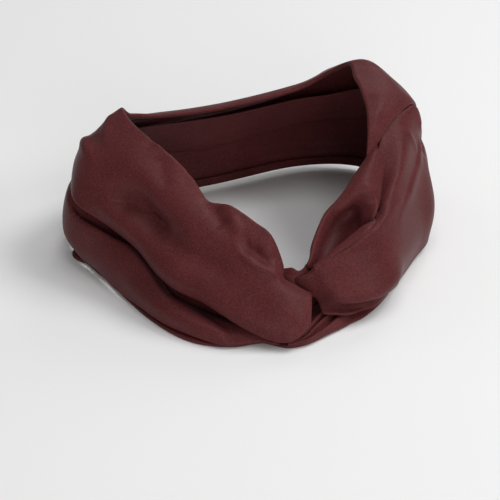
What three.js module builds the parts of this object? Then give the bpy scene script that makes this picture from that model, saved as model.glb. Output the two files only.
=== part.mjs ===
// Silk cravat, worn once round the neck and crossed at the front.
// Millimetres. Z runs up the neck, -Y is the wearer's front, -X the wearer's right.
// The origin is on the neck axis, level with the lowest folds.
// Each stretch of cloth is one closed wall, drawn over sections that follow the neck line.
import * as THREE from 'three';

// Driving sizes
const CLOTH_WALL = 1.1;          // thickness of each wall of cloth
const FOLD_RADIUS = 1.0;         // middle of the wall round a rolled fold
const TURN_UNDER = 5.0;          // how far a fold returns behind its face
const SEAM_GAP = 0.34;           // clear gap where two stretches of one layer meet
const NECK_MEAN_RADIUS = 53;     // the neck line is a rounded triangle, narrow at the front
const NECK_TAPER = 11;           // how far the neck line departs from a circle
const ROLL_STEPS = 4;            // facets round a rolled fold
const FACE_MARGIN = 1.6;         // where the open face begins behind a fold
const FULL_TURN = 360;

const rad = (degrees) => degrees * Math.PI / 180;

// A point of the neck line and its outward direction, at a turn in degrees from the front,
// towards the wearer's left.
function neckLine(turn) {
  const t = rad(turn);
  const x = NECK_MEAN_RADIUS * Math.sin(t) - NECK_TAPER * Math.sin(2 * t);
  const y = -NECK_MEAN_RADIUS * Math.cos(t) - NECK_TAPER * Math.cos(2 * t);
  const alongX = NECK_MEAN_RADIUS * Math.cos(t) - 2 * NECK_TAPER * Math.cos(2 * t);
  const alongY = NECK_MEAN_RADIUS * Math.sin(t) + 2 * NECK_TAPER * Math.sin(2 * t);
  const length = Math.hypot(alongX, alongY);
  return { x, y, outX: alongY / length, outY: -alongX / length };
}

// Turn, distance out from the neck line and rise become a point in space.
function place([turn, out, rise]) {
  const p = neckLine(turn);
  return new THREE.Vector3(p.x + out * p.outX, p.y + out * p.outY, rise);
}

// The same place on the ring, counted on past the back.
const onward = (rows) => rows.map((row) => row.map(([turn, out, rise]) => [turn - FULL_TURN, out, rise]));

// Upper layer. Each row is one section, each cell is [turn, out, rise].
// Columns: top fold, shoulder, trough, lower roll, foot fold.
const RIGHT_UPPER_ROWS = [
  [[-1, 9, 19.5], [-1.5, 13, 18.5], [-2.2, 17, 16], [-2.8, 19.8, 13], [-3.4, 21.3, 9.8]],
  [[-8.5, 6.4, 22.5], [-7.5, 13.5, 22], [-6.8, 19, 18.5], [-6.2, 23.5, 13.5], [-6, 25.5, 7.4]],
  [[-15.5, 5.5, 25.5], [-12.5, 14, 25], [-10.5, 22, 19], [-9, 27.5, 12], [-8.8, 29, 6]],
  [[-18, 2.5, 31.5], [-16, 13, 28], [-14, 24, 19], [-12.5, 29, 10.5], [-12, 30, 4.6]],
  [[-26, 0.8, 44], [-23, 13, 34], [-20.5, 24, 21.5], [-19, 30.5, 14], [-19, 31.5, 7.5]],
  [[-35, 0.8, 48.5], [-31, 14, 38], [-28, 25.5, 25], [-26.5, 32, 17.5], [-26, 32.5, 11]],
  [[-45, 2, 53], [-43, 15, 43.5], [-39.5, 26.5, 31], [-40, 33, 23], [-40, 32.5, 16]],
  [[-55, 4.5, 53.5], [-53, 16, 47.5], [-50, 27.5, 34.5], [-50, 35, 26], [-50, 35, 18.5]],
  [[-65, 3, 62], [-63, 16, 53], [-61, 26, 39.5], [-60.5, 34, 28.5], [-60, 33.5, 21]],
  [[-78, 3, 69], [-75, 17, 60], [-73, 24.5, 47], [-73, 30.5, 34], [-74, 28, 25.5]],
  [[-91, 2.5, 72], [-88, 17, 66], [-86, 25.5, 54], [-87, 31.5, 41], [-88, 29, 31]],
  [[-115, 4, 75.5], [-110, 18, 67], [-106, 26.5, 62], [-102.5, 33, 51], [-100, 36.3, 41]],
];
const BACK_UPPER_ROWS = [
  [[-131, 4, 68], [-127, 15.5, 60], [-124, 21, 56], [-120, 27, 50], [-116, 29.5, 41]],
  [[-152, 3, 62], [-151, 14, 58], [-150, 20.5, 52], [-149, 26, 45], [-147, 28, 36]],
  [[-180, 3, 60], [-180, 14, 56.5], [-180, 20, 51], [-180, 25, 43.5], [-180, 27.5, 34]],
  [[-209, 3, 64], [-211, 15, 61], [-212, 22, 55], [-213, 27, 47], [-215, 30, 37]],
];
const LEFT_BACK_TURN_ROWS = onward([
  [[132, 3, 72], [130, 14, 69.5], [129, 21, 64], [127, 28, 54], [126, 32, 41]],
  [[116, 3, 79], [112, 13, 79], [111, 21, 73], [110, 28.5, 62], [111, 34, 46]],
  [[106, 1.5, 80.5], [106, 15, 79.5], [105, 24, 74.5], [104, 30.5, 64], [104, 34.3, 52]],
  [[98, 1, 80], [99, 16.5, 79], [98, 26, 74], [98, 31.3, 66], [98, 33.6, 60]],
  [[89, 3.5, 79], [91, 15.5, 78.5], [92, 24, 75.5], [93, 29, 71.5], [93, 32, 67.5]],
  [[82, 5.5, 77.5], [84, 14, 77.5], [86, 21, 75.5], [87, 25, 73], [87, 28, 69.8]],
  [[77, 7.5, 75.5], [78.5, 14, 75.5], [80, 18.5, 73.5], [81, 21.5, 71.5], [81, 23.5, 68]],
  [[72, 9, 72.5], [73, 13, 72], [74.5, 16, 70.5], [75.5, 18.5, 69], [76, 20, 66]],
  [[67.5, 9.8, 68.4], [68.5, 12.3, 68.2], [69.6, 14.4, 67.2], [70.5, 16, 65.8], [71, 17, 64]],
  [[63.5, 10.2, 64.8], [64.4, 11.8, 64.5], [65.2, 13.1, 63.9], [66, 14.2, 63], [66.6, 15, 62]],
]);
const UPPER_LAYER = [...RIGHT_UPPER_ROWS, ...BACK_UPPER_ROWS, ...LEFT_BACK_TURN_ROWS];

// Lower layer, tucked up under the upper one.
// Columns: tucked top, trough, shelf or ridge, belly, foot fold.
const RIGHT_LOWER_ROWS = [
  [[-21, 16, 13], [-20, 20, 8.6], [-19, 24, 6.4], [-19, 27.5, 5.2], [-19, 30.5, 4.6]],
  [[-26, 17, 20], [-25, 24, 10], [-25, 30, 8], [-24, 34, 7], [-24, 37, 3.4]],
  [[-31, 19, 25], [-31, 26, 11], [-31, 33, 10], [-31, 39, 8.5], [-31, 41, 2.4]],
  [[-46, 20, 32], [-46, 27, 13], [-46, 35, 13.5], [-46, 42, 10], [-45, 42, 2.4]],
  [[-56, 20, 36], [-56, 28, 15.5], [-56, 35, 15.5], [-56, 41.5, 11], [-55, 41, 2.4]],
  [[-67, 19, 40], [-67, 25, 21], [-67, 32, 19], [-67, 39, 12], [-66, 38, 2.4]],
  [[-80, 19, 44], [-80, 23.5, 25], [-80, 29, 22], [-80, 35.5, 13], [-79, 35, 2.4]],
  [[-93, 22, 48], [-93, 27, 30], [-93, 31, 27], [-93, 33.5, 15], [-93, 30.5, 2.4]],
  [[-105, 26, 52], [-105, 30, 36], [-105, 33.8, 32], [-105, 36, 17], [-104, 32, 2.4]],
];
const BACK_LOWER_ROWS = [
  [[-120, 20, 47], [-120, 23.5, 35], [-120, 29, 29], [-119, 34, 16], [-118, 31.5, 2.6]],
  [[-148, 20, 44], [-148, 24, 31], [-148, 27.5, 27], [-148, 29, 15], [-148, 27, 2.6]],
  [[-180, 18, 41], [-180, 21.5, 28], [-180, 25, 24], [-180, 26.5, 14], [-180, 24.5, 2.6]],
  [[-212, 20, 44], [-212, 25, 31], [-212, 29, 27], [-212, 32, 15], [-212, 30, 2.6]],
];
const LEFT_FRONT_ROWS = onward([
  [[130, 23, 47], [129, 28, 35], [129, 33, 29], [129, 36, 15], [129, 33, 2.6]],
  [[112, 25, 57], [112, 30.5, 43], [110, 36, 36], [108, 39, 18], [108, 37, 2.6]],
  [[99, 25, 62], [98, 30, 57], [97, 34, 49], [96, 41, 22], [96, 39.5, 2.6]],
  [[84, 16, 62], [87, 24, 63], [90, 31.5, 59], [88, 40, 26], [88, 40, 2.6]],
  [[79, 20, 58.5], [83, 27, 59.5], [88, 33.5, 52], [84, 41, 25], [83, 40.5, 2.6]],
  [[68, 21, 54], [75, 29, 55], [82, 34.5, 48.5], [79, 43.5, 24], [77, 42, 2.6]],
  [[57, 19.5, 48.5], [66, 28, 50], [76, 34, 44], [72, 44, 22], [70, 42, 2.6]],
  [[45, 20, 42], [53, 27, 44.5], [63, 32.5, 40.5], [63, 40.2, 19], [61, 38.5, 2.6]],
  [[38.5, 20.2, 40], [43, 26, 41], [52, 31, 36.5], [52, 37, 17.5], [51, 35, 2.0]],
  [[32, 16.6, 37.5], [35, 22, 37], [41, 29, 32], [42, 34.6, 17], [41, 33, 5]],
  [[22, 9.5, 33.5], [25, 16, 32], [28, 24, 28], [31, 34, 17], [31, 33, 9.5]],
  [[13, 5, 30.5], [14, 11, 28.5], [17, 18, 24.5], [19, 28, 17], [20, 28.5, 11.5]],
  [[6, 3, 28.5], [7, 7, 26], [8, 12, 22], [9, 17.5, 17.5], [9, 17.5, 12.8]],
  [[1, 2.4, 25.5], [1.8, 4.2, 23.2], [2.8, 6.6, 20.2], [3.8, 8.4, 17], [4.4, 8.6, 14]],
  [[-7, 2, 23], [-6.2, 2.2, 20.8], [-5.4, 2.4, 18.4], [-4.6, 2.5, 15.8], [-4, 2.5, 13.5]],
]);
const LOWER_LAYER = [...RIGHT_LOWER_ROWS, ...BACK_LOWER_ROWS, ...LEFT_FRONT_ROWS];

// Small stretches at the sides and front.
// Columns: inner edge, middle, outer edge.
const RIGHT_UNDER_ROWS = [
  [[-13, 15, 0.55], [-13, 21, 0.55], [-13, 26, 0.55]],
  [[-19, 18, 0.55], [-19, 24, 0.55], [-19, 29.5, 0.55]],
  [[-25, 24, 0.55], [-25, 30, 0.55], [-25, 35.5, 0.55]],
  [[-34, 29, 0.55], [-34, 35, 0.55], [-34, 40.5, 0.55]],
  [[-45, 31, 0.55], [-45, 37, 0.55], [-44, 42.6, 0.55]],
  [[-57, 31, 0.55], [-57, 37, 0.55], [-56, 42, 0.55]],
  [[-72, 28, 0.55], [-72, 34, 0.55], [-71, 38.6, 0.55]],
  [[-84, 24, 0.55], [-84, 29, 0.55], [-82, 34, 0.55]],
  [[-95, 21, 0.55], [-95, 27, 0.55], [-95, 31.5, 0.55]],
  [[-104, 22, 0.55], [-104, 28, 0.55], [-104, 33, 0.55]],
  [[-114, 24, 0.55], [-114, 30, 0.55], [-113, 35, 0.55]],
];
// Columns: inner top fold, hollow, outer edge tucked under the front wrap.
const LEFT_INNER_ROWS = [
  [[75, 9, 60], [78, 13, 58.5], [82, 16, 56]],
  [[66, 10.5, 57], [69, 15, 56], [72, 19.6, 51.8]],
  [[55, 5, 51.5], [57, 12.5, 49.5], [60, 20, 45]],
  [[44, 0, 46.5], [46, 9.5, 41.5], [49, 20, 38]],
  [[34, -3.5, 42.5], [37, 5, 36.5], [40, 16.8, 33.5]],
  [[21, -5, 35], [25, -0.5, 32], [30, 8.5, 29.5]],
  [[10, -3, 30], [13, -1.4, 28], [17, 2.6, 25.8]],
  [[2, -1.4, 27.8], [4.5, -1.6, 25.4], [8, -1.4, 22.6]],
];
// Columns: lip edge, tucked edge.
const INNER_PLEAT_ROWS = [
  [[41, 19, 39.5], [42, 20.5, 36.5]],
  [[34, 15.5, 37], [36, 17.5, 33]],
  [[26, 9, 33.5], [29, 12.5, 29.5]],
  [[17, 4, 30.5], [20, 7, 26.5]],
  [[9, 1.0, 28.4], [12, 3.4, 24.4]],
];
// Columns: tucked top, middle, foot fold.
const LOWER_PLEAT_ROWS = [
  [[3, 4.4, 12.4], [4, 8.5, 10], [5, 12.5, 8]],
  [[9, 11, 12], [10, 15, 9.6], [11, 19, 7]],
  [[16, 18, 12], [16, 21.5, 9.5], [17, 24, 6.4]],
  [[24, 21, 12], [24, 25, 9], [24, 27, 5.6]],
  [[35, 24, 11], [35, 27.5, 8], [35, 29, 5]],
];
// Columns: inner edge, middle, outer edge.
const LEFT_BOTTOM_ROWS = [
  [[-11, 13, 0.55], [-10, 20, 0.55], [-9, 26, 0.55]],
  [[-5, 11, 2.2], [-5, 18, 1.4], [-5, 25, 0.55]],
  [[2, 8, 4], [2, 15, 2.6], [2, 21, 0.55]],
  [[11, 8, 5.2], [11, 15, 3.6], [11, 21, 0.55]],
  [[19, 12, 3.6], [19, 18, 2.4], [18, 23.5, 0.55]],
  [[34, 17, 1.4], [34, 23, 0.9], [33, 28.5, 0.55]],
  [[50, 21, 0.9], [50, 27, 1.1], [49, 33.4, 1.15]],
];
// Columns: top edge, foot edge.
const CROSSING_TUCK_ROWS = [
  [[-19, -0.6, 28], [-19, -0.6, 20.5]],
  [[-11, -1.2, 26.4], [-11, -1.2, 20.4]],
  [[-5, -1.6, 25.4], [-5, -1.6, 20.4]],
  [[0, -1.7, 26.4], [0, -1.7, 20.4]],
];
const TUCKED_END_ROWS = [
  [[-16, -1, 19.8], [-16, -1, 3.5]],
  [[-5, -1.6, 19.8], [-5, -1.6, 3.5]],
  [[5, -1.6, 19.8], [5, -1.6, 3.5]],
  [[14, -1, 19.8], [14, -1, 3.5]],
];

// A value on a smooth curve through a row of numbers.
function smooth(values, at) {
  const last = values.length - 1;
  const i = Math.min(Math.max(Math.floor(at), 0), last - 1);
  const f = at - i;
  const b = values[i];
  const c = values[i + 1];
  const a = i > 0 ? values[i - 1] : 2 * b - c;
  const d = i + 2 <= last ? values[i + 2] : 2 * c - b;
  return b + 0.5 * f * (c - a + f * (2 * a - 5 * b + 4 * c - d + f * (3 * (b - c) + d - a)));
}

// The middle of the wall at a place along and across a table of sections.
function onTable(rows, along, across) {
  const cell = [0, 1, 2].map((axis) => {
    const guides = rows[0].map((_, column) => smooth(rows.map((row) => row[column][axis]), along));
    return smooth(guides, across);
  });
  return place(cell);
}

// The lie of the cloth at a place on a table: its point, its normal and its run along the neck.
const NUDGE = 0.01;
function lieOfCloth(rows, along, across) {
  const point = onTable(rows, along, across);
  const run = onTable(rows, along + NUDGE, across).sub(onTable(rows, along - NUDGE, across)).normalize();
  const fall = onTable(rows, along, across + NUDGE).sub(onTable(rows, along, across - NUDGE)).normalize();
  return { point, run, fall, normal: run.clone().cross(fall).normalize() };
}

// The way a stretch has to face for its normals to point away from the neck and up.
function facingOf(sections) {
  let sum = 0;
  for (const section of sections) {
    for (const { point, normal } of section) {
      const reach = Math.hypot(point.x, point.y);
      sum += (normal.x * point.x + normal.y * point.y) / reach + normal.z;
    }
  }
  return sum > 0 ? 1 : -1;
}

// The direction out of the cloth at an edge, square to the edge and to the normal.
function outOfEdge({ run, normal }, towards) {
  const out = run.clone().cross(normal).normalize();
  return out.dot(towards) < 0 ? out.negate() : out;
}

// A rolled fold at the first place of a section: round the fold, then back behind the face.
function rolledFold(section, room) {
  const { point, normal } = section[0];
  const out = outOfEdge(section[0], point.clone().sub(section[1].point));
  const centre = point.clone().addScaledVector(out, -FOLD_RADIUS).addScaledVector(normal, -FOLD_RADIUS);
  const fold = [];
  for (let k = 0; k <= ROLL_STEPS; k += 1) {
    const angle = Math.PI * k / ROLL_STEPS;
    const facing = normal.clone().multiplyScalar(Math.cos(angle)).addScaledVector(out, Math.sin(angle));
    fold.push({ point: centre.clone().addScaledVector(facing, FOLD_RADIUS), normal: facing });
  }
  for (const share of [0.55, 1]) {
    fold.push(behind(section, FOLD_RADIUS + room * share));
  }
  return fold;
}

// A place behind the face, a distance back from the edge.
function behind(section, distance) {
  const { point, normal } = alongSection(section, distance);
  return { point: point.addScaledVector(normal, -2 * FOLD_RADIUS), normal: normal.negate() };
}

// The place a distance along a section.
function alongSection(section, distance) {
  let left = distance;
  for (let c = 0; c + 1 < section.length; c += 1) {
    const step = section[c].point.distanceTo(section[c + 1].point);
    if (left <= step || c + 2 === section.length) {
      const f = Math.min(left / step, 1);
      const normal = section[c].normal.clone().lerp(section[c + 1].normal, f).normalize();
      return { point: section[c].point.clone().lerp(section[c + 1].point, f), normal };
    }
    left -= step;
  }
  return section[0];
}

// The face of a section between its folds, and the folds at its edges.
function foldSection(section, folds) {
  let length = 0;
  for (let c = 0; c + 1 < section.length; c += 1) {
    length += section[c].point.distanceTo(section[c + 1].point);
  }
  const room = Math.min(TURN_UNDER, 0.3 * (length - 2 * FOLD_RADIUS));
  const turned = [...section].reverse();
  const start = folds.top ? rolledFold(section, room).reverse() : [section[0]];
  const end = folds.foot ? rolledFold(turned, room) : [turned[0]];
  const from = folds.top ? FACE_MARGIN : 0;
  const to = folds.foot ? length - FACE_MARGIN : length;
  const steps = section.length - 1;
  const face = [];
  for (let c = folds.top ? 0 : 1; c <= (folds.foot ? steps : steps - 1); c += 1) {
    face.push(alongSection(section, from + (to - from) * c / steps));
  }
  return [...start, ...face, ...end];
}

// A closed wall round the folded sections.
function wallGeometry(sections, facing) {
  const rowsA = sections.length;
  const rowsC = sections[0].length;
  const positions = [];
  const index = [];
  for (const side of [1, -1]) {
    for (const section of sections) {
      for (const { point, normal } of section) {
        const p = point.clone().addScaledVector(normal, side * CLOTH_WALL / 2);
        positions.push(p.x, p.y, p.z);
      }
    }
  }
  const face = (a, c) => a * rowsC + c;
  const back = (a, c) => rowsA * rowsC + a * rowsC + c;
  const quad = (p, q, r, s) => {
    if (facing > 0) {
      index.push(p, q, r, p, r, s);
    } else {
      index.push(p, r, q, p, s, r);
    }
  };
  for (let a = 0; a + 1 < rowsA; a += 1) {
    for (let c = 0; c + 1 < rowsC; c += 1) {
      quad(face(a, c), face(a + 1, c), face(a + 1, c + 1), face(a, c + 1));
      quad(back(a, c), back(a, c + 1), back(a + 1, c + 1), back(a + 1, c));
    }
  }
  for (let a = 0; a + 1 < rowsA; a += 1) {
    quad(back(a, 0), back(a + 1, 0), face(a + 1, 0), face(a, 0));
    quad(face(a, rowsC - 1), face(a + 1, rowsC - 1), back(a + 1, rowsC - 1), back(a, rowsC - 1));
  }
  for (let c = 0; c + 1 < rowsC; c += 1) {
    quad(face(0, c), face(0, c + 1), back(0, c + 1), back(0, c));
    quad(face(rowsA - 1, c), back(rowsA - 1, c), back(rowsA - 1, c + 1), face(rowsA - 1, c + 1));
  }
  const geometry = new THREE.BufferGeometry();
  geometry.setAttribute('position', new THREE.Float32BufferAttribute(positions, 3));
  geometry.setIndex(index);
  geometry.computeVertexNormals();
  return geometry;
}

// One stretch of cloth as a closed solid.
function stretch({ rows, from = 0, to = rows.length - 1, along, across, folds }) {
  const sections = [];
  for (let a = 0; a <= along; a += 1) {
    const section = [];
    for (let c = 0; c <= across; c += 1) {
      section.push(lieOfCloth(rows, from + (to - from) * a / along, (rows[0].length - 1) * c / across));
    }
    sections.push(section);
  }
  const facing = facingOf(sections);
  sections.forEach((section) => section.forEach((lie) => lie.normal.multiplyScalar(facing)));
  return wallGeometry(sections.map((section) => foldSection(section, folds)), facing);
}

// Where the two ring layers are parted into stretches, as section numbers.
const RIGHT_JOIN = RIGHT_UPPER_ROWS.length;
const UPPER_LEFT_JOIN = RIGHT_UPPER_ROWS.length + BACK_UPPER_ROWS.length;
const LOWER_RIGHT_JOIN = RIGHT_LOWER_ROWS.length;
const LOWER_LEFT_JOIN = RIGHT_LOWER_ROWS.length + BACK_LOWER_ROWS.length;
const SECTION_SPACING = 26;      // typical distance between sections near the joins
const PART_BY = SEAM_GAP / 2 / SECTION_SPACING;

const BOTH = { top: true, foot: true };
const FOOT_ONLY = { top: false, foot: true };
const TOP_ONLY = { top: true, foot: false };
const PLAIN = { top: false, foot: false };

// The stretches. Columns: name, table, first and last section, steps along and across, folds.
const STRETCHES = [
  { name: 'right_upper_wrap', rows: UPPER_LAYER, to: RIGHT_JOIN - PART_BY, along: 26, across: 8, folds: BOTH },
  { name: 'neck_back_upper', rows: UPPER_LAYER, from: RIGHT_JOIN + PART_BY, to: UPPER_LEFT_JOIN - PART_BY,
    along: 10, across: 8, folds: BOTH },
  { name: 'left_back_turn', rows: UPPER_LAYER, from: UPPER_LEFT_JOIN + PART_BY, along: 15, across: 8, folds: BOTH },
  { name: 'right_lower_wrap', rows: LOWER_LAYER, to: LOWER_RIGHT_JOIN - PART_BY, along: 18, across: 10,
    folds: FOOT_ONLY },
  { name: 'neck_back_lower', rows: LOWER_LAYER, from: LOWER_RIGHT_JOIN + PART_BY, to: LOWER_LEFT_JOIN - PART_BY,
    along: 10, across: 10, folds: FOOT_ONLY },
  { name: 'left_front_wrap', rows: LOWER_LAYER, from: LOWER_LEFT_JOIN + PART_BY, along: 26, across: 10, folds: BOTH },
  { name: 'right_under_fold', rows: RIGHT_UNDER_ROWS, along: 22, across: 2, folds: PLAIN },
  { name: 'left_inner_fold', rows: LEFT_INNER_ROWS, along: 18, across: 8, folds: TOP_ONLY },
  { name: 'left_inner_pleat', rows: INNER_PLEAT_ROWS, along: 10, across: 2, folds: PLAIN },
  { name: 'left_lower_pleat', rows: LOWER_PLEAT_ROWS, along: 10, across: 4, folds: PLAIN },
  { name: 'left_bottom_fold', rows: LEFT_BOTTOM_ROWS, along: 16, across: 4, folds: PLAIN },
  { name: 'crossing_tuck', rows: CROSSING_TUCK_ROWS, along: 6, across: 3, folds: PLAIN },
  { name: 'tucked_end', rows: TUCKED_END_ROWS, along: 8, across: 4, folds: PLAIN },
];

const SILK_COLOR = 0x4a2226;
const group = new THREE.Group();
group.name = 'silk_cravat';
for (const item of STRETCHES) {
  const material = new THREE.MeshStandardMaterial({ color: SILK_COLOR, roughness: 0.55, metalness: 0 });
  material.name = 'silk';
  const mesh = new THREE.Mesh(stretch(item), material);
  mesh.name = item.name;
  group.add(mesh);
}

export default group;
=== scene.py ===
import math
from typing import NamedTuple

import bpy
import numpy as np
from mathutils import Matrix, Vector


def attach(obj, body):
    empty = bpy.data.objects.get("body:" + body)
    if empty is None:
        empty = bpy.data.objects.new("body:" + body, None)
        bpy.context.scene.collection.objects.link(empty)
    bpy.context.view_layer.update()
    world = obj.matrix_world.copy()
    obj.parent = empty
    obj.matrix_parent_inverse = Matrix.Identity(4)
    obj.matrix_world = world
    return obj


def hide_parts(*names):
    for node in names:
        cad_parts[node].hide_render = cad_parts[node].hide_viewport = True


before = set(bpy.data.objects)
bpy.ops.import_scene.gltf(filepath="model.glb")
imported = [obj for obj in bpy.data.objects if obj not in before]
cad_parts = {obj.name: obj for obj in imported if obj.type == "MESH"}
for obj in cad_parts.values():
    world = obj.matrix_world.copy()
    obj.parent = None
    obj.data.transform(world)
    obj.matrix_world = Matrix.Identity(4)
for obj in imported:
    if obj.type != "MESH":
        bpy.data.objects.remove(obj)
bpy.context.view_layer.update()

# Silk cravat, worn once round the neck and crossed at the front, in the part's own frame.
# Z runs up the neck, -Y is the wearer's front, -X the wearer's right.
# The cloth is drawn in mm and degrees. The floor, lights and camera are in metres.
MM = 0.001

# Sizes of the cloth
CLOTH_WALL = 0.6             # thickness of one layer of silk
FOLD_RADIUS = 0.9            # middle of the wall round a rolled fold
FLAT_FOLD_RADIUS = 0.55      # the same in a fold that is pressed flat
NARROW_SHARE = 0.06          # most that a fold radius takes of a section's width
RETURN = 3.6                 # how far a full fold returns behind its face
PLAIN_RETURN = 0.8           # the same at an edge that isn't turned
CORNER_RETURN_SHARE = 0.1    # least share of its return that a corner keeps
LAID_RISE = 1.4              # middle of a face that lies on the floor

# How far the edge of a stretch is turned under, in degrees
FLAT = 0
PLAIN = 25
SIDE_ON = 90
TURNED_UNDER = 120
FOLDED = 180

# The neck line is a rounded triangle, narrow at the front
NECK_MEAN_RADIUS = 53
NECK_TAPER = 11
FULL_TURN = 360

# Fineness of the mesh
PITCHES = (1.1, 0.9)         # distance between sections and between the points of a section
FINE_PITCHES = (0.35, 0.35)  # the same in the small pleats
TABLE_STEPS = 240            # samples of a table before they are spaced evenly
WIDE_PERCENTILE = 75         # the width, among a table's sections, that sets its points across
FEWEST_ALONG = 8
FEWEST_ACROSS = 4
ROLL_STEPS = 7               # facets round a fold
RETURN_STEPS = 3             # facets of its return
MEAN_REACH = 3               # neighbours on each side in a moving mean round an edge
CREASE_STEPS = 8             # samples of a crease for each point of its path
CREASE_FADE = 0.25           # share of its path over which each end of a crease fades
CREASE_END_SHARE = 0.25      # share of its height that is left at its ends
TINY = 1e-12

# Silk
SILK_SURFACE = {
    "Roughness": 0.46,
    "Specular IOR Level": 0.1,
    "Sheen Weight": 0.045,
    "Sheen Roughness": 0.3,
    "Sheen Tint": (0.92, 0.9, 1.0, 1.0),
}
# The dark and the light tone, each with the strength of the grain at which it is reached
SILK_TONES = ((0.36, (0.066, 0.0130, 0.0138, 1)), (0.64, (0.118, 0.0265, 0.0280, 1)))
GRAIN_SCALE = 1400           # fine grain of the twill
CLOUD_SCALE = 45             # slow change of tone over the cloth
NOISE_DETAIL = 2
GRAIN_SHARE = 0.7
CLOUD_SHARE = 0.3
GRAIN_BUMP = 0.2
GRAIN_DEPTH = 0.0001

# Floor, lights and camera
FLOOR_HALF = 1.6
FLOOR_SURFACE = {
    "Base Color": (0.9, 0.9, 0.9, 1),
    "Roughness": 0.9,
    "Specular IOR Level": 0.1,
}
SKY_STRENGTH = 0.19
LIT_POINT = (0, 0, 0.03)
# Columns: name, place, width of the disk, power in watts.
LIGHTS = [
    ("key", (0.9, -0.1, 1.3), 0.7, 10),
    ("side", (0.9, -1.0, 1.0), 0.6, 4.5),
    ("front", (-0.3, -1.6, 0.5), 0.8, 8),
    ("top", (0.0, -0.1, 1.6), 0.8, 5),
    ("back", (0.9, 1.0, 1.0), 0.8, 3.5),
    ("rim", (-0.7, 1.1, 0.9), 0.6, 1),
]
CAMERA_TURN = -20            # degrees from straight ahead, below 0 on the wearer's right
CAMERA_RISE = 32             # degrees above level
CAMERA_DISTANCE = 1.0
CAMERA_LENS = 144            # mm, on a sensor 36 mm wide
CAMERA_SENSOR = 36
CAMERA_NEAR = 0.05
LOOKED_AT = (-0.008, -0.008, 0.006)


# The ring that the cloth follows

def neck_line(turn):
    """Points of the neck line and its outward directions, at turns in degrees from the front."""
    t = np.radians(turn)
    x = NECK_MEAN_RADIUS * np.sin(t) - NECK_TAPER * np.sin(2 * t)
    y = -NECK_MEAN_RADIUS * np.cos(t) - NECK_TAPER * np.cos(2 * t)
    along_x = NECK_MEAN_RADIUS * np.cos(t) - 2 * NECK_TAPER * np.cos(2 * t)
    along_y = NECK_MEAN_RADIUS * np.sin(t) + 2 * NECK_TAPER * np.sin(2 * t)
    length = np.hypot(along_x, along_y)
    return x, y, along_y / length, -along_x / length


def place(cells):
    """Points in space, in mm, for cells of turn, distance out from the neck line and rise."""
    x, y, out_x, out_y = neck_line(cells[..., 0])
    out = cells[..., 1]
    return np.stack([x + out * out_x, y + out * out_y, cells[..., 2]], -1)


def smooth(values, at):
    """Values on smooth curves through the rows of an array, at row numbers that can be between rows."""
    ends = [2 * values[:1] - values[1:2], values, 2 * values[-1:] - values[-2:-1]]
    padded = np.concatenate(ends)
    i = np.clip(np.floor(at).astype(int), 0, len(values) - 2)
    f = (at - i).reshape((-1,) + (1,) * (values.ndim - 1))
    a, b, c, d = padded[i], padded[i + 1], padded[i + 2], padded[i + 3]
    return b + 0.5 * f * (c - a + f * (2 * a - 5 * b + 4 * c - d + f * (3 * (b - c) + d - a)))


def on_table(rows, along, across):
    """The cells of a table, for each section number and each guide number."""
    return np.swapaxes(smooth(np.swapaxes(smooth(rows, along), 0, 1), across), 0, 1)


def path_on_table(rows, pairs):
    """Points on a table, one for each pair of section and guide number."""
    cells = [on_table(rows, np.array([section]), np.array([guide]))[0, 0] for section, guide in pairs]
    return place(np.array(cells))


def onward(rows):
    """The same places on the ring, counted on past the back."""
    return [[[turn - FULL_TURN, out, rise] for turn, out, rise in row] for row in rows]


# Tables of the cloth. Each row is one section, and each cell is a guide's [turn, out, rise]: its turn
# in degrees from the front, its distance out from the neck line and its rise, both in mm.

# Upper layer, from the crossing round the wearer's right and the back to the left front
# Columns: top fold, shoulder, trough, lower roll, foot fold.
RIGHT_UPPER_ROWS = [
    [[-0.6, 9, 19], [-1.5, 13, 18.2], [-2.2, 16.6, 16], [-2.9, 19.6, 13], [-3.2, 21.8, 10]],
    [[-8.5, 6.4, 22.5], [-7.5, 13.5, 22], [-6.8, 19, 18.5], [-5.8, 24.6, 13.6], [-5.5, 26.2, 8]],
    [[-15.5, 5.5, 25.5], [-12.5, 14, 25], [-10.5, 22, 19], [-8.9, 27.5, 12], [-8.2, 30, 6]],
    [[-17.2, 2.2, 31.5], [-16, 13, 28], [-14, 24, 19], [-12.6, 29, 10.5], [-12.2, 30.4, 4.6]],
    [[-25, 0.6, 43.5], [-23, 13, 34], [-20.5, 24, 21.5], [-19, 30.5, 14], [-19, 31.5, 7.5]],
    [[-35, 0.8, 48.5], [-31, 14, 38], [-28, 25.5, 25], [-26.5, 32, 17.5], [-26, 32.5, 11]],
    [[-45, 2, 53], [-43, 15, 43.5], [-39.5, 26.5, 31], [-40, 33, 23], [-40, 32.5, 16]],
    [[-55, 4.5, 53.5], [-53, 16, 47.5], [-50, 27.5, 34.5], [-50, 35, 26], [-50, 35, 18.5]],
    [[-65, 3, 62], [-63, 16, 53], [-61, 26, 39.5], [-60.5, 34, 28.5], [-60, 33.5, 21]],
    [[-78, 3, 69], [-75, 17, 60], [-73, 24.5, 47], [-73, 30.5, 34], [-74, 28, 25.5]],
    [[-91, 2.5, 72], [-88, 17, 66], [-86, 25.5, 54], [-87, 31.5, 41], [-88, 29, 31]],
    [[-115, 4, 76.5], [-110, 18, 67], [-106, 26.5, 61.5], [-103, 32.4, 51], [-100, 36.8, 40.2]],
]
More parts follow.
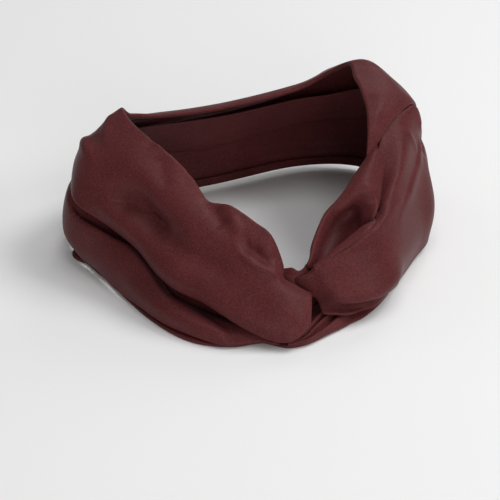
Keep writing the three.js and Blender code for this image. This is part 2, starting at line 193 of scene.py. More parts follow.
BACK_UPPER_ROWS = [
    [[-131, 4, 68], [-127, 15.5, 60], [-124, 21, 56], [-120, 26.5, 50], [-116, 29.5, 42]],
    [[-152, 3, 62], [-151, 14, 58], [-150, 20.5, 52], [-149, 26, 45], [-147, 28, 36]],
    [[-180, 3, 60], [-180, 14, 56.5], [-180, 20, 51], [-180, 25, 43.5], [-180, 27.5, 34]],
    [[-209, 3, 64], [-211, 15, 61], [-212, 22, 55], [-213, 27, 47], [-215, 30, 37]],
]
LEFT_BACK_TURN_ROWS = onward([
    [[132, 3, 73], [130, 14, 70.5], [129, 21, 64.5], [127, 28, 54], [126, 32, 41]],
    [[117, 2.6, 80.5], [113, 12.5, 80.3], [111, 21, 72.5], [110, 28.3, 62], [111, 34, 46]],
    [[107, 1.5, 81], [106, 14, 79.5], [105, 23.5, 72], [104, 30, 64], [104, 34.3, 52]],
    [[98, 1, 80], [99, 16, 78.6], [98, 25.5, 72], [98, 30.9, 66], [98, 33.6, 60]],
    [[89, 3.5, 79], [91, 15.5, 78], [92, 24, 74], [93, 28.8, 70.4], [93, 31.8, 67]],
    [[82, 5.5, 77.5], [84, 14, 77.3], [86, 21, 74.7], [87, 25, 72.3], [87, 28, 69.4]],
    [[77, 7.5, 75], [78.5, 14, 75], [80, 18.5, 73], [81, 21.5, 71], [81, 23.5, 68]],
    [[72, 9, 71.5], [73, 13, 71.4], [74.5, 16, 70], [75.5, 18.5, 68.4], [76, 20, 65.8]],
    [[67.8, 10, 66.4], [68.8, 12.3, 66.4], [69.8, 14.4, 65.6], [70.6, 16, 64.6], [71.2, 17, 63]],
    [[64.8, 10.3, 60.2], [65.3, 11.4, 60.6], [65.8, 12.3, 60.5], [66.4, 13.2, 60], [67, 14, 59.2]],
    [[63.2, 10.3, 57], [63.5, 10.9, 57.2], [63.8, 11.4, 57.2], [64.2, 12, 57], [64.5, 12.5, 56.6]],
])

# Lower layer, tucked up under the upper one, the same way round and on to the crossing
# Columns: tucked top, trough, shelf or ridge, belly, foot fold.
RIGHT_LOWER_ROWS = [
    [[-14, 13, 8], [-14, 17, 5.4], [-13.5, 21, 4.2], [-13, 25, 3.4], [-12.5, 28.4, 2.4]],
    [[-21, 15, 13], [-20, 19, 7.6], [-19.5, 24, 6], [-19, 27.5, 4.8], [-18.5, 30, 2.6]],
    [[-26, 16, 20], [-25.5, 20, 8], [-25, 28, 7.4], [-24.8, 33, 6.2], [-24.6, 36.4, 2.2]],
    [[-31, 17, 25], [-31, 20.5, 5.6], [-31, 30, 8.5], [-31, 38, 8.5], [-31, 40.6, 2.3]],
    [[-46, 19, 32], [-46, 20.5, 3.6], [-46, 32.5, 11.4], [-46, 41.6, 10.5], [-46, 42.2, 2.3]],
    [[-56, 20, 36], [-56, 23.5, 6], [-56, 34.6, 14.8], [-56, 41.5, 11], [-56, 41.4, 2.3]],
    [[-67, 19, 40], [-67, 24.5, 17.5], [-67, 31.5, 20.6], [-67, 38.8, 12.5], [-67, 38.4, 2.3]],
    [[-80, 18, 44], [-80, 22, 22.5], [-80, 28.5, 25], [-80, 35.4, 15], [-80, 35.6, 2.3]],
    [[-93, 20, 48], [-93.5, 23.5, 10], [-93.4, 30.7, 27.8], [-95, 35.2, 15], [-95, 30.8, 2.3]],
    [[-106, 24, 52], [-106.8, 32, 34.5], [-107.5, 35.3, 31.5], [-107, 37.6, 15.4], [-104, 31.4, 2.3]],
]
BACK_LOWER_ROWS = [
    [[-120, 15, 55], [-120, 25, 39], [-120, 31, 33], [-119, 34.5, 16], [-118, 31.5, 2.6]],
    [[-148, 13, 51], [-148, 24, 31], [-148, 27.5, 27], [-148, 29, 15], [-148, 27, 2.6]],
    [[-180, 12, 49], [-180, 21.5, 28], [-180, 25, 24], [-180, 26.5, 14], [-180, 24.5, 2.6]],
    [[-212, 13, 52], [-212, 25, 31], [-212, 29, 27], [-212, 32, 15], [-212, 30, 2.6]],
]
LEFT_FRONT_ROWS = onward([
    [[130, 17, 53], [129, 27, 35], [129, 33, 29], [129, 36, 15], [129, 33, 2.6]],
    [[112, 22, 63], [112, 30.5, 46], [110, 36, 36], [108, 39, 18], [108, 37, 2.6]],
    [[99, 20.5, 70.5], [98, 31, 62.5], [97, 35.4, 53], [96, 41, 22], [96, 39.5, 2.6]],
    [[78, 14, 66], [86, 25.5, 68], [91, 33.8, 63], [89, 40, 26], [88, 40, 2.6]],
    [[69.2, 16.9, 60], [80, 26.4, 63], [88.5, 35, 52.5], [85, 41, 25], [83, 40.5, 2.6]],
    [[62.5, 14.6, 53.8], [72, 27.4, 57.6], [83, 34.5, 47.2], [79, 43.2, 24], [77, 41.6, 2.6]],
    [[54, 14.9, 44], [62, 26.6, 51.8], [76, 34, 44], [72, 43, 22], [70, 41, 2.6]],
    [[43.8, 18, 41.5], [49.8, 25, 46.2], [63, 32.5, 40.5], [63, 39, 19], [61, 37, 2.6]],
    [[36.8, 20.9, 40.6], [42.4, 25.6, 41.8], [52, 31, 36.5], [52, 35.8, 17.5], [51, 33.4, 2]],
    [[29.5, 19, 38], [34, 23, 37.3], [41, 29, 32], [42, 33.8, 17], [41, 32, 5]],
    [[20.5, 12.3, 33.9], [24.5, 17, 32.3], [28, 24, 28], [31, 33.5, 17], [31, 32.5, 9.5]],
    [[11.8, 6.4, 30.9], [14, 11, 28.5], [17, 18, 24.5], [19, 28, 17], [20, 28.5, 11.5]],
    [[5.2, 3.4, 28.2], [7, 7, 26], [8, 12, 22], [9, 17.5, 17.5], [9, 17.5, 12.8]],
    [[0.5, 2.6, 25.2], [1.8, 4.2, 23.2], [2.8, 6.6, 20.2], [3.8, 8.4, 17], [4.4, 8.6, 14]],
    [[-7, 1.8, 22.8], [-6.2, 2.2, 20.8], [-5.4, 2.4, 18.4], [-4.6, 2.5, 15.8], [-4, 2.5, 13.5]],
    [[-14, 0.8, 20], [-13.4, 0.7, 18.5], [-12.8, 0.6, 17], [-12.2, 0.5, 15.5], [-11.8, 0.4, 14.2]],
])

# Thin fold at the base of the right side, flat on the floor. Each cell is [turn, out].
# Columns: inner edge, middle, outer edge.
RIGHT_UNDER_PLAN = [
    [[-11, 13], [-11.5, 19], [-12, 25.5]],
    [[-18, 16], [-18.5, 22], [-19, 27.4]],
    [[-25, 24], [-25, 29], [-25, 34.6]],
    [[-33, 29], [-33, 35], [-32.5, 40.4]],
    [[-41, 31], [-41, 37], [-40, 43.4]],
    [[-51, 31], [-51, 37], [-50, 43.2]],
    [[-63, 30], [-63, 35], [-62, 40.2]],
    [[-75, 26], [-75, 31], [-74, 35.8]],
    [[-87, 22], [-87, 27], [-86, 31.4]],
    [[-96, 21], [-96, 26], [-95.5, 30]],
    [[-103, 21.5], [-103, 26], [-102.5, 30]],
    [[-108, 22.5], [-108.5, 28], [-108.5, 33.8]],
    [[-114, 20], [-114, 24.5], [-114, 28.6]],
]
RIGHT_UNDER_ROWS = [[[turn, out, LAID_RISE] for turn, out in row] for row in RIGHT_UNDER_PLAN]

# Fold along the neck on the left, with a hollow
# Columns: inner top fold, ridge, hollow, outer edge tucked under the front wrap.
LEFT_INNER_ROWS = [
    [[76, 9.2, 59.5], [75.5, 12, 60], [76, 15.5, 58], [77.8, 18, 54.5]],
    [[65.5, 10.6, 57.4], [65, 13.6, 58.5], [66.2, 16.4, 57.2], [66, 19.5, 54.6]],
    [[54.2, 5.6, 53], [51.8, 10.8, 55], [51.8, 14.5, 53.4], [55, 19.2, 49.2]],
    [[48.2, 3.4, 50.8], [46, 8.8, 52.2], [46, 14.4, 50.2], [48.2, 19.8, 45.6]],
    [[42.8, 0.8, 48], [41.4, 4.8, 45.2], [44.2, 8.8, 39.6], [40.8, 18, 41]],
    [[34, -3.5, 42.5], [36.2, -1, 37.6], [40, 3.6, 31.6], [35.5, 16, 33]],
    [[21, -5, 35], [22.8, -2.8, 31], [25.5, 1.4, 26.2], [28, 9, 28.6]],
    [[10, -3, 30], [12, -2, 27], [14.5, 0, 24.6], [15, 3.2, 25.6]],
    [[2, -1.4, 27.8], [4, -1.6, 26], [6, -1.6, 24.2], [7, -1, 23.4]],
]

# Thin lip between that fold and the front wrap
# Columns: lip edge, middle, tucked edge.
INNER_PLEAT_ROWS = [
    [[37.8, 20.1, 41.2], [36.8, 20.6, 40.8], [36.5, 21, 39]],
    [[32.8, 15.3, 40.6], [31.2, 18.1, 40.3], [30.6, 20.2, 37.2]],
    [[27.5, 10.6, 37.4], [25.5, 13.7, 36.9], [24.4, 16, 33.8]],
    [[20.8, 6, 34], [19.2, 8.7, 33.6], [18.4, 10.6, 30.8]],
    [[12.5, 2.9, 31], [11.5, 5.2, 30.9], [11.5, 7, 28.3]],
    [[4.8, 1.5, 28.6], [4, 3.1, 28.3], [4.8, 4.4, 26.2]],
]

# Pleat below the front wrap
# Columns: tucked top, middle, foot edge.
LOWER_PLEAT_ROWS = [
    [[2.4, 3, 15.4], [4.8, 5.2, 11.4], [5.8, 7.3, 9.2]],
    [[7.6, 5.4, 15.6], [5, 8.8, 9.6], [3.5, 11.6, 8.2]],
    [[11, 10, 15.6], [8.4, 13.2, 9], [7, 15.9, 8]],
    [[15.2, 13.8, 15.4], [12.6, 17.6, 8.8], [11, 20, 7.4]],
    [[18.4, 18, 15.2], [16.6, 21, 8.6], [16.2, 22.8, 6.8]],
    [[24, 20.6, 15], [22.8, 24.8, 9], [22.8, 26.5, 5.8]],
    [[34.5, 23, 14], [34.5, 27.6, 8], [35, 29, 5]],
]

# Lowest fold of the left side and the crossing
# Columns: inner edge, middle, outer edge.
LEFT_BOTTOM_ROWS = [
    [[-16, 13, 1.4], [-15, 20, 1.4], [-13.4, 27, 1.4]],
    [[-10, 3, 2], [-10, 19, 1.5], [-9.6, 27.8, 1.4]],
    [[-5, -1, 2.6], [-5, 18, 2.6], [-5.6, 25.8, 1.4]],
    [[2, -1.6, 3], [2.2, 16, 3], [2.2, 20.6, 1.4]],
    [[11, 0, 3.4], [11, 15, 3.6], [11, 20.4, 1.4]],
    [[19, 2, 3.4], [19, 17.5, 3.4], [17.6, 22.9, 1.4]],
    [[33, 12, 2.4], [33, 22.5, 2.4], [32, 27, 1.4]],
    [[47, 20, 1.4], [47, 25, 1.4], [46, 29.4, 1.4]],
]

# Small tuck above the crossing
# Columns: top fold, middle, foot edge.
CROSSING_TUCK_ROWS = [
    [[-24, -2.4, 25], [-24, 2, 21], [-24, 4, 16]],
    [[-18.8, -2, 25], [-18.8, 2, 21], [-18.8, 4, 16]],
    [[-12.8, -2.1, 26.1], [-12.8, 2, 21.5], [-12.8, 4, 16]],
    [[-6.5, -1.4, 24.8], [-6.5, 1, 21], [-6.5, 2, 16]],
    [[1, -2.4, 26], [1.5, 0, 21.5], [1.5, 1, 17]],
    [[7, -3.4, 27], [7, -2, 22], [7, -1.6, 18]],
]

# Hidden end behind the crossing
# Columns: top edge, foot edge.
TUCKED_END_ROWS = [
    [[-20, -3, 17], [-20, -1, 1.4]],
    [[-5, -3, 17], [-5, -2, 1.4]],
    [[5, -3, 17], [5, -2.4, 1.4]],
    [[14, -3, 17], [14, -1.8, 1.4]],
    [[24, -3, 15], [24, 0, 1.4]],
]

# Pleats beside the crossing, gathered to a point under it.
# Columns: first fold, groove, second fold, groove, third fold, edge tucked into the bottom fold.
FRONT_PLEAT_ROWS = [
    [[-10, 26.6, 3.6], [-9.8, 26.4, 3.2], [-9.8, 27.1, 3.4],
     [-9.6, 27.3, 2.9], [-9.6, 27.8, 2.8], [-9.6, 27.6, 1.8]],
    [[-7.2, 25.3, 4.4], [-7, 25.2, 3.5], [-7, 26.2, 4.1],
     [-6.8, 25.8, 3.2], [-6.8, 26.6, 3.5], [-6.8, 26.4, 1.9]],
    [[-5.8, 22.9, 5.1], [-5, 22.6, 3.6], [-4.8, 23.9, 4.8],
     [-4.5, 24.1, 3.3], [-4.2, 25.4, 4.1], [-4.2, 25.2, 1.9]],
    [[-2.8, 17.1, 6], [-1.8, 16.5, 3.9], [-1.5, 18.5, 5.6],
     [-0.8, 18.9, 3.3], [-0.8, 22, 4.8], [-0.6, 22, 2]],
    [[1.2, 12.3, 6.6], [2.8, 11.8, 4], [2.8, 14.3, 6.1],
     [3.5, 15.6, 3.3], [3.5, 19, 5.3], [4.2, 20, 2.2]],
    [[6, 9.9, 6.7], [8.2, 9.6, 4.2], [7.5, 12, 6.2],
     [9.2, 13.2, 3.4], [9.2, 16.6, 5.5], [9.5, 19.4, 2.2]],
    [[12.5, 8.7, 6], [15, 8.9, 4.6], [14.5, 10.8, 5.6],
     [16.2, 12.6, 4], [15.8, 15.8, 4.8], [15, 18.6, 2.4]],
]

# Creases and soft ridges. Each is a path of [section, guide] numbers on its table, its widths on the
# path's left and right, seen from outside the cloth, and its height, below 0 for a trough.
UPPER_CREASES = [
    ([[10.3, 2.5], [9.8, 2.2], [9.3, 2.0], [8.8, 1.95], [8.3, 1.9], [7.8, 1.85]], 6, 8, -5.4),
    ([[8.6, 2.2], [7.8, 1.9], [6.8, 1.85], [5.9, 1.8], [5.1, 1.75]], 5, 7, -2.0),
    ([[10.2, 2.75], [9.7, 2.4], [9.2, 2.15], [8.7, 2.05], [8.2, 2.1]], 3.5, 5, -3.0),
    ([[9.0, 0.2], [8.85, 0.42], [8.65, 0.65], [8.4, 0.95]], 4.5, 4, -1.3),
    ([[6.8, 0.15], [6.35, 0.5], [5.9, 0.75]], 4, 3.4, -2.4),
    ([[6.0, 0.25], [5.6, 0.45], [5.3, 0.65]], 2.5, 2.5, 1.2),
    ([[5.3, 0.55], [4.95, 0.78], [4.6, 0.74], [4.2, 0.78], [3.8, 0.7], [3.4, 0.4]], 2.6, 3.4, -3.3),
    ([[5.4, 0.9], [4.9, 1.1], [4.1, 1.12], [3.4, 0.95], [2.9, 0.6]], 5, 1.8, 1.4),
    ([[11.2, 0.3], [10.9, 0.6], [10.6, 0.95]], 3, 2.5, 1.0),
    ([[11.9, 0.3], [11.6, 0.8], [11.3, 1.25]], 5, 5, -3.0),
    ([[11.5, 1.9], [11.2, 1.8], [10.7, 1.9]], 3, 3, 1.6),
    ([[9.6, -0.1], [9.5, 0.3]], 3, 3, -0.8),
    ([[8.0, -0.1], [7.9, 0.3]], 3, 3, -0.8),
    ([[7.1, -0.1], [6.9, 0.3]], 3, 3, -0.8),
    ([[12.1, 3.2], [12.8, 2.7], [13.6, 2.3], [14.6, 2.1], [15.5, 1.6]], 4.5, 4, -2.8),
    ([[12.9, 0.9], [13.8, 1.3], [14.7, 1.15], [15.9, 0.7]], 4, 4.5, -2.3),
    ([[12.3, 1.6], [13.2, 1.9], [13.9, 1.75]], 3, 3, -1.1),
    ([[15.7, 3.3], [16.5, 2.9], [17.1, 2.5]], 4, 4, -1.6),
]
LOWER_CREASES = [
    ([[4.1, 1.8], [3.4, 2.0], [2.8, 2.4], [1.8, 3.2]], 3.0, 4.0, -1.8),
    ([[18.2, 1.98], [18.9, 2.0], [19.6, 2.02], [20.4, 2.0], [21.2, 1.98], [22.2, 1.9]], 4, 1.6, 1.0),
    ([[18.3, 1.1], [18.8, 1.5], [19.4, 1.9]], 1.6, 2.5, 0.6),
    ([[19.7, 0.1], [20.2, 0.12], [20.8, 0.12], [21.3, 0.1]], 2.0, 3, -2.2),
    ([[15.2, 2.5], [16, 2.42], [17, 2.36], [18, 2.3], [18.9, 2.2]], 3.6, 3.6, -2.0),
    ([[9.6, 3.0], [10.6, 2.7], [11.6, 3.1], [12.6, 2.6]], 4, 5, -1.9),
    ([[11.4, 3.6], [12.4, 3.3], [13.6, 3.5], [14.6, 3.2]], 3.6, 4, -2.2),
    ([[9.9, 2.1], [10.8, 2.3], [11.5, 2.2]], 3, 4, -1.2),
]
INNER_CREASES = [
    ([[3.8, 2.3], [4.1, 1.8], [4.7, 1.5], [5.6, 1.45], [6.8, 1.5]], 6, 2.6, -3.6),
]


# A stretch of cloth

class Stretch(NamedTuple):
    """One piece of the scene: the nodes that it stands for, its form and how it is held.

    rolls gives how far the top, the last section, the foot and the first section are turned under. held
    is not used.
    """
    name: str
    nodes: tuple
    rows: list
    creases: list = []
    rolls: tuple = (PLAIN, PLAIN, PLAIN, PLAIN)
    held: str = "folded"
    fold_radius: float = FOLD_RADIUS
    pitches: tuple = PITCHES


def unit(v):
    """Vectors of length 1."""
    return v / np.maximum(np.linalg.norm(v, axis=-1, keepdims=True), TINY)


def normals_of(points):
    """Unit normals of a grid of points."""
    return unit(np.cross(np.gradient(points, axis=0), np.gradient(points, axis=1)))


def facing_of(points, normals):
    """1 or -1, so that the normals point away from the neck and up."""
    reach = np.maximum(np.hypot(points[..., 0], points[..., 1]), TINY)
    lean = (normals[..., 0] * points[..., 0] + normals[..., 1] * points[..., 1]) / reach
    return 1.0 if (lean + normals[..., 2]).sum() > 0 else -1.0


def eased(x):
    """A soft step from 0 to 1."""
    x = np.clip(x, 0, 1)
    return x * x * (3 - 2 * x)


def crease_field(points, normals, rows, crease):
    """How far one crease lifts each point of a grid along its outward normal."""
    pairs, width_left, width_right, height = crease
    knots = np.array(pairs, float)
    steps = np.linspace(0, len(knots) - 1, CREASE_STEPS * len(knots))
    path = path_on_table(rows, smooth(knots, steps))
    flat = points.reshape(-1, 3)
    normal = normals.reshape(-1, 3)
    nearest = np.full(len(flat), np.inf)
    side = np.zeros(len(flat))
    share = np.zeros(len(flat))
    for k in range(len(path) - 1):
        run = path[k + 1] - path[k]
        f = np.clip((flat - path[k]) @ run / (run @ run), 0, 1)
        off = flat - path[k] - f[:, None] * run
        distance = np.linalg.norm(off, axis=1)
        nearer = distance < nearest
        nearest[nearer] = distance[nearer]
        side[nearer] = np.einsum("ij,ij->i", np.cross(normal, run), off)[nearer]
        share[nearer] = (k + f[nearer]) / (len(path) - 1)
    width = np.where(side > 0, width_left, width_right)
    fade = eased(share / CREASE_FADE) * eased((1 - share) / CREASE_FADE)
    fade = CREASE_END_SHARE + (1 - CREASE_END_SHARE) * fade
    lift = height * np.exp(-(nearest / width) ** 2) * fade
    return lift.reshape(points.shape[:2])


def evenly(cells, count, first, last):
    """A row of cells made evenly spaced, from a distance after its start to one before its end."""
    points = place(cells)
    run = np.concatenate([[0], np.cumsum(np.linalg.norm(np.diff(points, axis=0), axis=1))])
    at = np.linspace(first, run[-1] - last, count)
    return np.stack([np.interp(at, run, cells[:, k]) for k in range(3)], -1)


def line_lengths(points):
    """The length of each row of a grid of points."""
    return np.linalg.norm(np.diff(points, axis=1), axis=2).sum(1)


def face_grid(rows, creases, insets, pitches):
    """The middle of the cloth over a table with its creases, its normals, their side and its size.

    insets gives how far the face stays in from the top, the last section, the foot and the first.
    """
    sections = np.linspace(0, len(rows) - 1, TABLE_STEPS)
    guides = np.linspace(0, rows.shape[1] - 1, TABLE_STEPS)
    cells = on_table(rows, sections, guides)
    width = line_lengths(place(cells))
    length = line_lengths(place(np.swapaxes(cells, 0, 1)))
    size = (float(width.mean()), float(np.median(length)))
    along = max(int(size[1] / pitches[0]), FEWEST_ALONG) + 1
    across = max(int(np.percentile(width, WIDE_PERCENTILE) / pitches[1]), FEWEST_ACROSS) + 1
    inset = [np.minimum(depth, NARROW_SHARE * width / FOLD_RADIUS * depth) for depth in insets]
    cells = np.stack([evenly(cells[k], across, inset[0][k], inset[2][k]) for k in range(TABLE_STEPS)])
    cells = np.stack([evenly(cells[:, k], along, insets[3], insets[1]) for k in range(across)], 1)
    points = place(cells)
    normals = normals_of(points)
    facing = facing_of(points, normals)
    outward = normals * facing
    lift = np.zeros(points.shape[:2])
    for crease in creases:
        lift = lift + crease_field(points, outward, rows, crease)
    points = points + outward * lift[..., None]
    return points, normals_of(points) * facing, facing, size


def edge_loop(shape):
    """Grid places round the edge, and how many lie on the top, last section, foot and first."""
    last_a, last_c = shape[0] - 1, shape[1] - 1
    top = [(a, 0) for a in range(last_a)]
    end = [(last_a, c) for c in range(last_c)]
    foot = [(a, last_c) for a in range(last_a, 0, -1)]
    start = [(0, c) for c in range(last_c, 0, -1)]
    return top + end + foot + start, [len(top), len(end), len(foot), len(start)]


def round_mean(values):
    """A moving mean round a closed loop."""
    total = values.copy()
    for k in range(1, MEAN_REACH + 1):
        total = total + np.roll(values, k, axis=0) + np.roll(values, -k, axis=0)
    return total / (2 * MEAN_REACH + 1)


def return_length(share):
    """How far an edge returns behind its face, for its share of a full fold."""
    return PLAIN_RETURN + (RETURN - PLAIN_RETURN) * share


def hemmed_sheet(points, normals, rolls, fold_radius):
    """A face with its edges turned under: the vertices, directions and quads of one layer of cloth.

    The last thing given is the loop of vertices at the cloth's own edge.
    """
    shape = points.shape[:2]
    loop, counts = edge_loop(shape)
    a = np.array([x[0] for x in loop])
    c = np.array([x[1] for x in loop])
    edge = points[a, c]
    normal = normals[a, c]
    tangent = unit(np.roll(edge, -1, axis=0) - np.roll(edge, 1, axis=0))
    out = np.cross(tangent, normal)
    inward = points[np.clip(a, 1, shape[0] - 2), np.clip(c, 1, shape[1] - 2)] - edge
    out = out * np.where(np.einsum("ij,ij->i", out, inward) > 0, -1.0, 1.0)[:, None]
    out = round_mean(out)
    out = unit(out - normal * np.einsum("ij,ij->i", out, normal)[:, None])
    roll = round_mean(np.repeat(np.radians(np.array(rolls, float)), counts))[:, None]
    radius = np.minimum(fold_radius, NARROW_SHARE * line_lengths(points)[a])[:, None]
    centre = edge - normal * radius
    strips = []
    for k in range(1, ROLL_STEPS + 1):
        facing = np.cos(roll * k / ROLL_STEPS) * normal + np.sin(roll * k / ROLL_STEPS) * out
        strips.append((centre + facing * radius, facing))
    heading = -np.sin(roll) * normal + np.cos(roll) * out
    room = return_length(roll / math.pi) * radius / fold_radius
    room = room * np.maximum(np.abs(np.cos(roll)), CORNER_RETURN_SHARE)
    last, facing = strips[-1]
    for k in range(1, RETURN_STEPS + 1):
        strips.append((last + heading * room * k / RETURN_STEPS, facing))
    vertices = np.concatenate([points.reshape(-1, 3)] + [strip for strip, _ in strips])
    directions = np.concatenate([normals.reshape(-1, 3)] + [facing for _, facing in strips])
    vertices[:, 2] = np.maximum(vertices[:, 2], CLOTH_WALL / 2)
    grid = np.arange(shape[0] * shape[1]).reshape(shape)
    quads = [np.stack([grid[:-1, :-1], grid[1:, :-1], grid[1:, 1:], grid[:-1, 1:]], -1).reshape(-1, 4)]
    ring = grid[a, c]
    for k in range(len(strips)):
        following = shape[0] * shape[1] + k * len(loop) + np.arange(len(loop))
        quads.append(np.stack([ring, following, np.roll(following, -1), np.roll(ring, -1)], -1))
        ring = following
    return vertices, directions, np.concatenate(quads), ring


def shell_mesh(name, vertices, directions, quads, rim, flip):
    """A closed thin shell round a layer of cloth."""
    count = len(vertices)
    half = CLOTH_WALL / 2
    both = np.concatenate([vertices + directions * half, vertices - directions * half]) * MM
    next_rim = np.roll(rim, -1)
    sides = np.stack([rim, rim + count, next_rim + count, next_rim], -1)
    faces = np.concatenate([quads, quads[:, ::-1] + count, sides])
    if flip:
        faces = faces[:, ::-1]
    mesh = bpy.data.meshes.new(name)
    mesh.from_pydata(both.tolist(), [], faces.tolist())
    mesh.validate()
    mesh.polygons.foreach_set("use_smooth", np.ones(len(mesh.polygons), bool))
    mesh.update()
    return mesh


def add_object(name, data):
    """A new object in the scene."""
    made = bpy.data.objects.new(name, data)
    bpy.context.scene.collection.objects.link(made)
    return made


def cloth_piece(stretch, material):
    """One stretch of silk as a thin closed shell, with its flat size in metres."""
    rows = np.array(stretch.rows, float)
    reach = stretch.fold_radius + CLOTH_WALL / 2
    insets = [reach * math.sin(math.radians(min(roll, SIDE_ON))) for roll in stretch.rolls]
    points, normals, facing, size = face_grid(rows, stretch.creases, insets, stretch.pitches)
    sheet = hemmed_sheet(points, normals, stretch.rolls, stretch.fold_radius)
    mesh = shell_mesh(stretch.name, *sheet, facing < 0)
    mesh.materials.append(material)
    turned = [stretch.fold_radius * math.radians(roll) + return_length(roll / FOLDED) - inset
              for roll, inset in zip(stretch.rolls, insets)]
    width = size[0] + turned[0] + turned[2]
    length = size[1] + turned[1] + turned[3]
    return add_object(stretch.name, mesh), (width * MM, length * MM)


# Material

def add_node(tree, kind, **settings):
    """A new node of a material, with its settings."""
    made = tree.nodes.new(kind)
    for key, value in settings.items():
        setattr(made, key, value)
    return made


def set_inputs(made, values):
    """Plain values on a node's own sockets."""
    for key, value in values.items():
        made.inputs[key].default_value = value


def silk():
    """Dark red silk twill: a soft broad gloss, a pale bloom at grazing angles and a fine grain."""
    material = bpy.data.materials.new("silk")
    material.use_nodes = True
    tree = material.node_tree
    shader = tree.nodes["Principled BSDF"]
    set_inputs(shader, SILK_SURFACE)
    place_at = add_node(tree, "ShaderNodeTexCoord")
    grain = add_node(tree, "ShaderNodeTexNoise")
    cloud = add_node(tree, "ShaderNodeTexNoise")
    for texture, scale in ((grain, GRAIN_SCALE), (cloud, CLOUD_SCALE)):
        set_inputs(texture, {"Scale": scale, "Detail": NOISE_DETAIL})
        tree.links.new(place_at.outputs["Object"], texture.inputs["Vector"])
    share = add_node(tree, "ShaderNodeMath", operation="MULTIPLY")
    set_inputs(share, {1: GRAIN_SHARE})
    tree.links.new(grain.outputs["Fac"], share.inputs[0])
    blend = add_node(tree, "ShaderNodeMath", operation="MULTIPLY_ADD")
    set_inputs(blend, {1: CLOUD_SHARE})
    tree.links.new(cloud.outputs["Fac"], blend.inputs[0])
    tree.links.new(share.outputs[0], blend.inputs[2])
    ramp = add_node(tree, "ShaderNodeValToRGB")
    for element, (position, colour) in zip(ramp.color_ramp.elements, SILK_TONES):
        element.position = position
        element.color = colour
    tree.links.new(blend.outputs[0], ramp.inputs["Fac"])
    tree.links.new(ramp.outputs["Color"], shader.inputs["Base Color"])
    bump = add_node(tree, "ShaderNodeBump")
    set_inputs(bump, {"Strength": GRAIN_BUMP, "Distance": GRAIN_DEPTH})
    tree.links.new(grain.outputs["Fac"], bump.inputs["Height"])
    tree.links.new(bump.outputs["Normal"], shader.inputs["Normal"])
    return material


# Floor, light and camera

def floor():
    """A plain pale floor."""
    half = FLOOR_HALF
    mesh = bpy.data.meshes.new("floor")
    corners = [(-half, -half, 0), (half, -half, 0), (half, half, 0), (-half, half, 0)]
    mesh.from_pydata(corners, [], [(0, 1, 2, 3)])
    material = bpy.data.materials.new("floor")
    material.use_nodes = True
    set_inputs(material.node_tree.nodes["Principled BSDF"], FLOOR_SURFACE)
    mesh.materials.append(material)
    add_object("floor", mesh)


def look_along(direction):
    """The turn of a light or camera that looks along a direction."""
    return Vector(direction).to_track_quat("-Z", "Y").to_euler()


def studio():
    """A white sky and soft round lights, all turned to the cravat."""
    world = bpy.data.worlds.new("studio")
    world.use_nodes = True
    set_inputs(world.node_tree.nodes["Background"], {"Color": (1, 1, 1, 1), "Strength": SKY_STRENGTH})
    bpy.context.scene.world = world
    bpy.context.scene.view_settings.view_transform = "Standard"
    for name, place_at, width, power in LIGHTS:
        data = bpy.data.lights.new(name, "AREA")
        data.shape = "DISK"
        data.size = width
        data.energy = power
        lamp = add_object(name, data)
        lamp.location = place_at
        lamp.rotation_euler = look_along(np.array(LIT_POINT, float) - np.array(place_at, float))


def camera():
    """The camera, at the photograph's angle."""
    turn, rise = math.radians(CAMERA_TURN), math.radians(CAMERA_RISE)
    level = math.cos(rise)
    back = np.array([math.sin(turn) * level, -math.cos(turn) * level, math.sin(rise)])
    data = bpy.data.cameras.new("camera")
    data.lens = CAMERA_LENS
    data.sensor_width = CAMERA_SENSOR
    data.clip_start = CAMERA_NEAR
    eye = add_object("camera", data)
    eye.location = np.array(LOOKED_AT) + back * CAMERA_DISTANCE
    eye.rotation_euler = look_along(-back)
    bpy.context.scene.camera = eye


# The pieces of the cravat

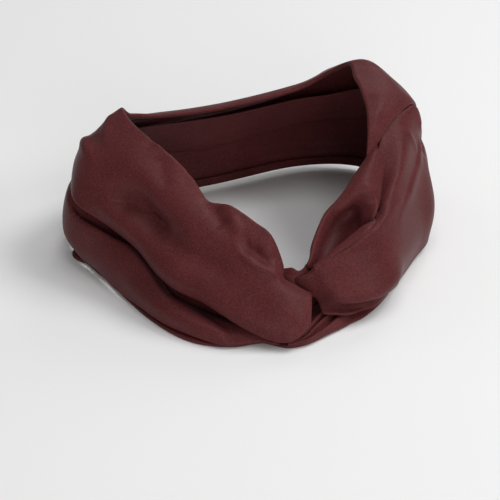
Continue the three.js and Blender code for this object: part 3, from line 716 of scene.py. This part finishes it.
STRETCHES = [
    Stretch("upper_layer", ("right_upper_wrap", "neck_back_upper", "left_back_turn"),
            RIGHT_UPPER_ROWS + BACK_UPPER_ROWS + LEFT_BACK_TURN_ROWS, UPPER_CREASES,
            rolls=(FOLDED, PLAIN, FOLDED, TURNED_UNDER)),
    Stretch("lower_layer", ("right_lower_wrap", "neck_back_lower", "left_front_wrap"),
            RIGHT_LOWER_ROWS + BACK_LOWER_ROWS + LEFT_FRONT_ROWS, LOWER_CREASES,
            rolls=(PLAIN, PLAIN, FOLDED, PLAIN)),
    Stretch("right_under_layer", ("right_under_fold",), RIGHT_UNDER_ROWS,
            rolls=(FLAT, FLAT, FOLDED, FLAT), held="laid", fold_radius=FLAT_FOLD_RADIUS),
    Stretch("left_inner_layer", ("left_inner_fold",), LEFT_INNER_ROWS, INNER_CREASES,
            rolls=(FOLDED, PLAIN, PLAIN, PLAIN)),
    Stretch("left_inner_lip", ("left_inner_pleat",), INNER_PLEAT_ROWS,
            rolls=(FOLDED, PLAIN, PLAIN, PLAIN), fold_radius=FLAT_FOLD_RADIUS, pitches=FINE_PITCHES),
    Stretch("left_lower_layer", ("left_lower_pleat",), LOWER_PLEAT_ROWS),
    Stretch("left_bottom_layer", ("left_bottom_fold",), LEFT_BOTTOM_ROWS,
            rolls=(PLAIN, PLAIN, FOLDED, PLAIN), held="laid", fold_radius=FLAT_FOLD_RADIUS),
    Stretch("crossing_tuck_layer", ("crossing_tuck",), CROSSING_TUCK_ROWS,
            rolls=(FOLDED, PLAIN, PLAIN, PLAIN), fold_radius=FLAT_FOLD_RADIUS),
    Stretch("tucked_end_layer", ("tucked_end",), TUCKED_END_ROWS),
    Stretch("front_pleats", (), FRONT_PLEAT_ROWS,
            rolls=(FOLDED, PLAIN, PLAIN, PLAIN), fold_radius=FLAT_FOLD_RADIUS, pitches=FINE_PITCHES),
]

camera()
studio()
floor()
SILK = silk()
for stretch in STRETCHES:
    piece, flat = cloth_piece(stretch, SILK)
    if stretch.nodes:
        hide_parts(*stretch.nodes)
    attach(piece, "root")
